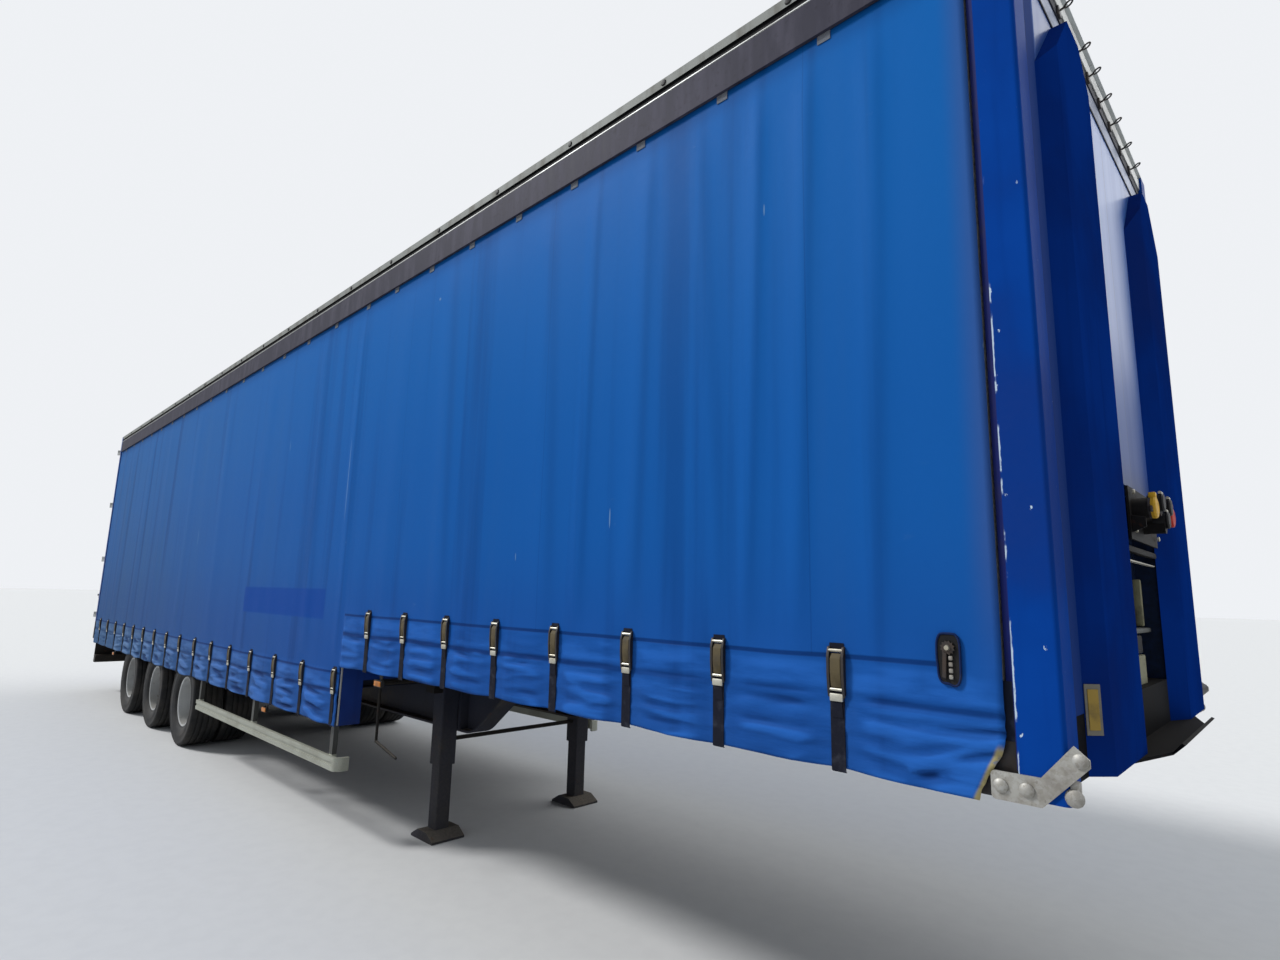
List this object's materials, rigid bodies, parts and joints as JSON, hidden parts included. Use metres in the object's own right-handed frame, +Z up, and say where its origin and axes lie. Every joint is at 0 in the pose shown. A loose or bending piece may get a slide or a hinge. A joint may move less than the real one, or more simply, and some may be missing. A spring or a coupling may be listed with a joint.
{
  "type": "semi trailer",
  "caption": "Step-frame curtain-sided semi trailer on twin-wheel axles, with hinged rear doors, strapped side curtains, kingpin, parking legs and side guards.",
  "frame": {"origin": "on the ground under the middle of the overall length and width", "axes": "+X forwards to the coupling end, +Y to the trailer's left, +Z up"},
  "size_m": [13.956, 2.546, 4.0998],
  "materials": {
    "chassis_paint": "worn dark blue-black paint with dust and rust",
    "black_steel": "greasy black paint",
    "blue_paint": "semi-gloss blue paint with chips",
    "wall_panel": "glossy pale panel",
    "deck_board": "worn sealed boards",
    "curtain_blue": "woven coated curtain with folds and road film",
    "strap_black": "webbing with metal buckles",
    "aluminium": "dull extruded",
    "pelmet": "dull dark, dusty",
    "galvanised": "galvanised, weathered",
    "roof_sheet": "pale translucent sheet",
    "tyre": "dusty rubber",
    "rim_paint": "silver-grey paint",
    "rubber": "matt",
    "door_panel": "blue paint in a frame",
    "lamp": "clear moulded lens"
  },
  "bodies": {
    "trailer": {"main_beams": "chassis_paint", "cross_members": "chassis_paint", "side_raves": "galvanised", "rubbing_plate": "black_steel", "kingpin": "galvanised", "front_bolster": "chassis_paint", "decks": "deck_board", "step_panels": "blue_paint", "headboard": "wall_panel", "bulkhead_columns": "blue_paint", "corner_posts": "blue_paint", "post_feet": "galvanised", "front_header": "pelmet", "roof_rails": "pelmet", "roof_bows": "aluminium", "roof_sheet": "roof_sheet", "side_pillars": "galvanised", "curtain_left": "curtain_blue", "curtain_right": "curtain_blue", "curtain_straps": "strap_black", "rear_posts": "blue_paint", "rear_header": "blue_paint", "rear_sill": "chassis_paint", "door_mountings": "galvanised", "rear_bumper": "black_steel", "lamps": "lamp", "axles": "black_steel", "suspension_hangers": "chassis_paint", "trailing_arms": "black_steel", "air_bags": "rubber", "mud_flaps": "rubber", "air_tanks": "black_steel", "side_guards": "aluminium", "landing_legs": "chassis_paint", "leg_crank": "black_steel", "coupling_panel": "black_steel"},
    "door_left": {"door_left_leaf": "door_panel", "door_left_gear": "galvanised"},
    "door_right": {"door_right_leaf": "door_panel", "door_right_gear": "galvanised"},
    "wheelset_1_left": {"tyres_1_left": "tyre", "wheel_1_left": "rim_paint"},
    "wheelset_1_right": {"tyres_1_right": "tyre", "wheel_1_right": "rim_paint"},
    "wheelset_2_left": {"tyres_2_left": "tyre", "wheel_2_left": "rim_paint"},
    "wheelset_2_right": {"tyres_2_right": "tyre", "wheel_2_right": "rim_paint"},
    "wheelset_3_left": {"tyres_3_left": "tyre", "wheel_3_left": "rim_paint"},
    "wheelset_3_right": {"tyres_3_right": "tyre", "wheel_3_right": "rim_paint"}
  },
  "joints": [
    {"name": "door_left_swing", "type": "hinge", "parent": "trailer", "child": "door_left", "pos_m": [-6.967, 1.262, 2.45], "axis": [0, 0, -1], "range_deg": [0, 270]},
    {"name": "door_right_swing", "type": "hinge", "parent": "trailer", "child": "door_right", "pos_m": [-6.967, -1.262, 2.45], "axis": [0, 0, 1], "range_deg": [0, 270]},
    {"name": "spin_1_left", "type": "hinge", "parent": "trailer", "child": "wheelset_1_left", "pos_m": [-1.507, 0.93, 0.4475], "axis": [0, 1, 0], "continuous": true},
    {"name": "spin_1_right", "type": "hinge", "parent": "trailer", "child": "wheelset_1_right", "pos_m": [-1.507, -0.93, 0.4475], "axis": [0, 1, 0], "continuous": true},
    {"name": "spin_2_left", "type": "hinge", "parent": "trailer", "child": "wheelset_2_left", "pos_m": [-2.817, 0.93, 0.4475], "axis": [0, 1, 0], "continuous": true},
    {"name": "spin_2_right", "type": "hinge", "parent": "trailer", "child": "wheelset_2_right", "pos_m": [-2.817, -0.93, 0.4475], "axis": [0, 1, 0], "continuous": true},
    {"name": "spin_3_left", "type": "hinge", "parent": "trailer", "child": "wheelset_3_left", "pos_m": [-4.127, 0.93, 0.4475], "axis": [0, 1, 0], "continuous": true},
    {"name": "spin_3_right", "type": "hinge", "parent": "trailer", "child": "wheelset_3_right", "pos_m": [-4.127, -0.93, 0.4475], "axis": [0, 1, 0], "continuous": true}
  ]
}
